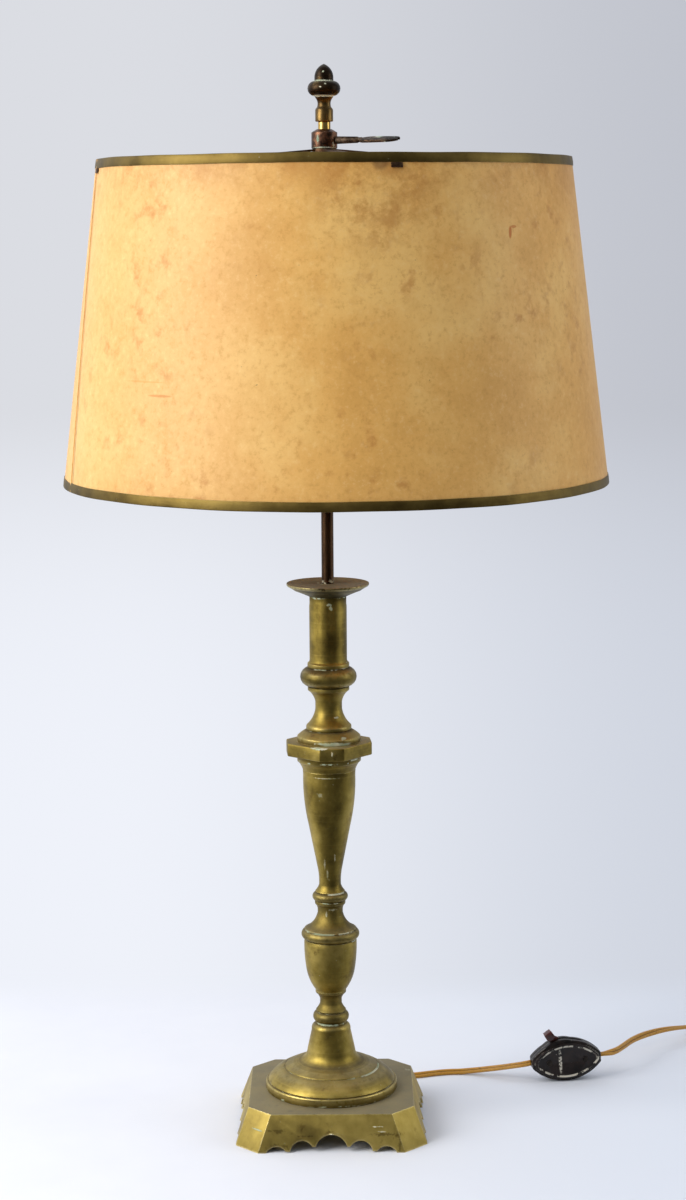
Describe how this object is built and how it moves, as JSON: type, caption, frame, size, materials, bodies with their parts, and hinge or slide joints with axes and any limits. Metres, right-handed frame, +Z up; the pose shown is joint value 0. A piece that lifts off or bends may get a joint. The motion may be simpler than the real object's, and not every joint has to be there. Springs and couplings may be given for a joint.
{
  "type": "bouillotte lamp",
  "caption": "Table lamp: turned brass candlestick on an arched square base, a pipe with a socket cluster, and a drum shade on a collar that slides and is held by a thumb key.",
  "frame": {"origin": "middle of the base where it stands, on the axis of the pipe", "axes": "+Z up along the pipe, -Y towards the viewer's side, +X towards the side where the cord lies"},
  "size_m": [0.6198, 0.4569, 0.8322],
  "materials": {
    "stem_brass": "old satin brass with dark and green tarnish in its grooves",
    "pipe_bronze": "dark brown tarnish, bright below the finial",
    "steel": "dull zinc-plated steel",
    "black_insulation": "matt black",
    "cord": "clear gold vinyl, satin",
    "cluster_brass": "plain satin brass",
    "liner_card": "brown pressed card",
    "socket_core": "moulded black",
    "lead_wire": "ivory insulation",
    "copper_brass": "copper-brown tarnish",
    "spider_iron": "brown, rubbed",
    "parchment": "mottled amber, satin",
    "trim_brass": "dull olive brass",
    "finial_brass": "satin brass with white residue",
    "acorn_bronze": "dark bronze, rubbed on the edges",
    "bakelite": "brown-black, pale residue on the ridges",
    "lever_bakelite": "dark red-brown",
    "bulb_glass": "frosted",
    "bulb_cap": "thin rolled metal",
    "plug_plastic": "brown-black, satin"
  },
  "bodies": {
    "stand": {"plinth": "stem_brass", "base_dome": "stem_brass", "lower_knop": "stem_brass", "urn": "stem_brass", "urn_rim": "stem_brass", "upper_knop": "stem_brass", "baluster": "stem_brass", "platform": "stem_brass", "scotia": "stem_brass", "torus_ring": "stem_brass", "candle_tube": "stem_brass", "drip_pan": "stem_brass", "lamp_pipe": "pipe_bronze", "base_washer": "steel", "lock_nut": "steel", "pipe_bushing": "black_insulation", "pipe_cord": "cord", "base_cord": "cord", "cluster_body": "cluster_brass", "cluster_screw": "steel", "socket_leads": "lead_wire", "socket_caps": "cluster_brass", "socket_shells": "cluster_brass", "socket_liners": "liner_card", "socket_cores": "socket_core", "screw_shells": "cluster_brass", "centre_contacts": "cluster_brass", "switch_front": "bakelite", "switch_back": "bakelite", "switch_pin": "steel", "switch_contacts": "cluster_brass", "switch_screws": "steel", "cord_to_switch": "cord", "cord_to_coil": "cord", "cord_coil": "cord", "cord_to_plug": "cord", "cord_tie": "black_insulation", "plug_body": "plug_plastic", "plug_relief": "plug_plastic", "plug_blades": "cluster_brass"},
    "collar": {"collar": "copper_brass", "collar_nut": "copper_brass"},
    "key": {"key": "copper_brass"},
    "shade": {"spider_hub": "spider_iron", "spider_arms": "spider_iron", "shade_parchment": "parchment", "top_wire": "steel", "bottom_wire": "steel", "top_trim": "trim_brass", "bottom_trim": "trim_brass"},
    "finial": {"finial_barrel": "finial_brass", "finial_acorn": "acorn_bronze"},
    "left_bulb": {"left_bulb_glass": "bulb_glass", "left_bulb_cap": "bulb_cap", "left_bulb_stem": "bulb_glass"},
    "right_bulb": {"right_bulb_glass": "bulb_glass", "right_bulb_cap": "bulb_cap", "right_bulb_stem": "bulb_glass"},
    "switch_lever": {"switch_lever": "lever_bakelite"}
  },
  "joints": [
    {"name": "collar_slide", "type": "slide", "parent": "stand", "child": "collar", "axis": [0, 0, 1], "range_m": [-0.055, 0.005]},
    {"name": "shade_turn", "type": "hinge", "parent": "collar", "child": "shade", "pos_m": [0, 0, 0.7672], "axis": [0, 0, 1], "continuous": true},
    {"name": "key_turn", "type": "hinge", "parent": "collar", "child": "key", "pos_m": [0, 0, 0.7752], "axis": [0.9063, -0.4226, 0], "continuous": true},
    {"name": "finial_turn", "type": "hinge", "parent": "stand", "child": "finial", "pos_m": [0, 0, 0.8], "axis": [0, 0, 1], "continuous": true},
    {"name": "left_bulb_turn", "type": "hinge", "parent": "stand", "child": "left_bulb", "pos_m": [0, 0, 0.6], "axis": [-0.7071, 0, 0.7071], "continuous": true},
    {"name": "right_bulb_turn", "type": "hinge", "parent": "stand", "child": "right_bulb", "pos_m": [0, 0, 0.6], "axis": [0.7071, 0, 0.7071], "continuous": true},
    {"name": "lever_swing", "type": "hinge", "parent": "stand", "child": "switch_lever", "pos_m": [0.1962, 0.092, 0.0175], "axis": [-0.1392, 0.9903, 0], "range_deg": [0, 60]}
  ]
}
